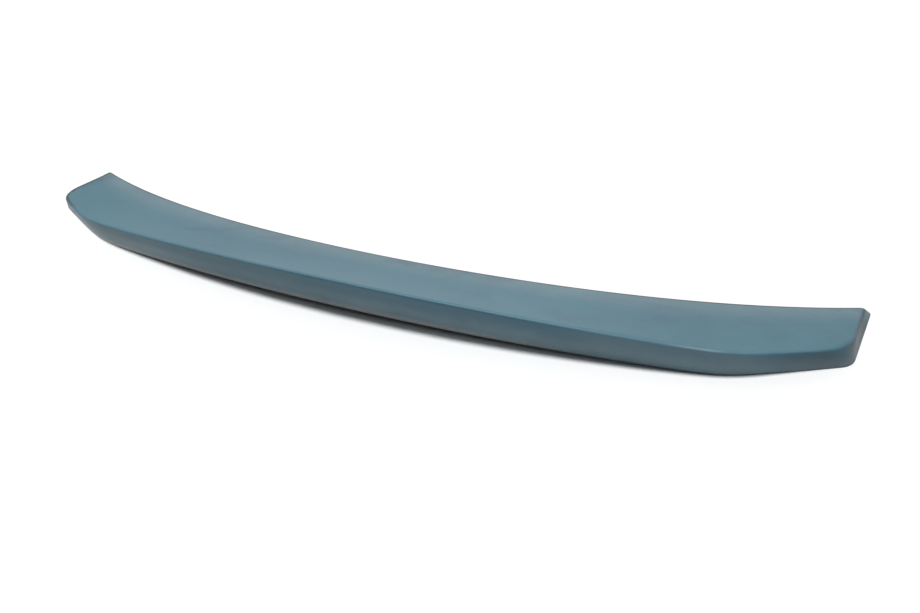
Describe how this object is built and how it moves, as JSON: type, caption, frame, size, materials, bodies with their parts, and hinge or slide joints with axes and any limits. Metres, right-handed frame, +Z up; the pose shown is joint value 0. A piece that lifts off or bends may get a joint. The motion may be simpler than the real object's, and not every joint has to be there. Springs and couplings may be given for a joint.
{
  "type": "boot-lid ducktail spoiler",
  "caption": "Bonded ducktail spoiler for a saloon's boot lid: one bowed, open-backed moulded shell with a thin leading lip and a rounded tail edge, in satin primer.",
  "frame": {"origin": "centre of the footprint's bounding box, on the plane that the tips rest on", "axes": "+X across the car, +Y forward to the leading edge, +Z up"},
  "size_m": [1.139, 0.2308, 0.0642],
  "materials": {
    "primer_shell": "satin blue-grey primer on a moulded plastic shell"
  },
  "bodies": {
    "root": {"spoiler_shell": "primer_shell"}
  },
  "joints": []
}
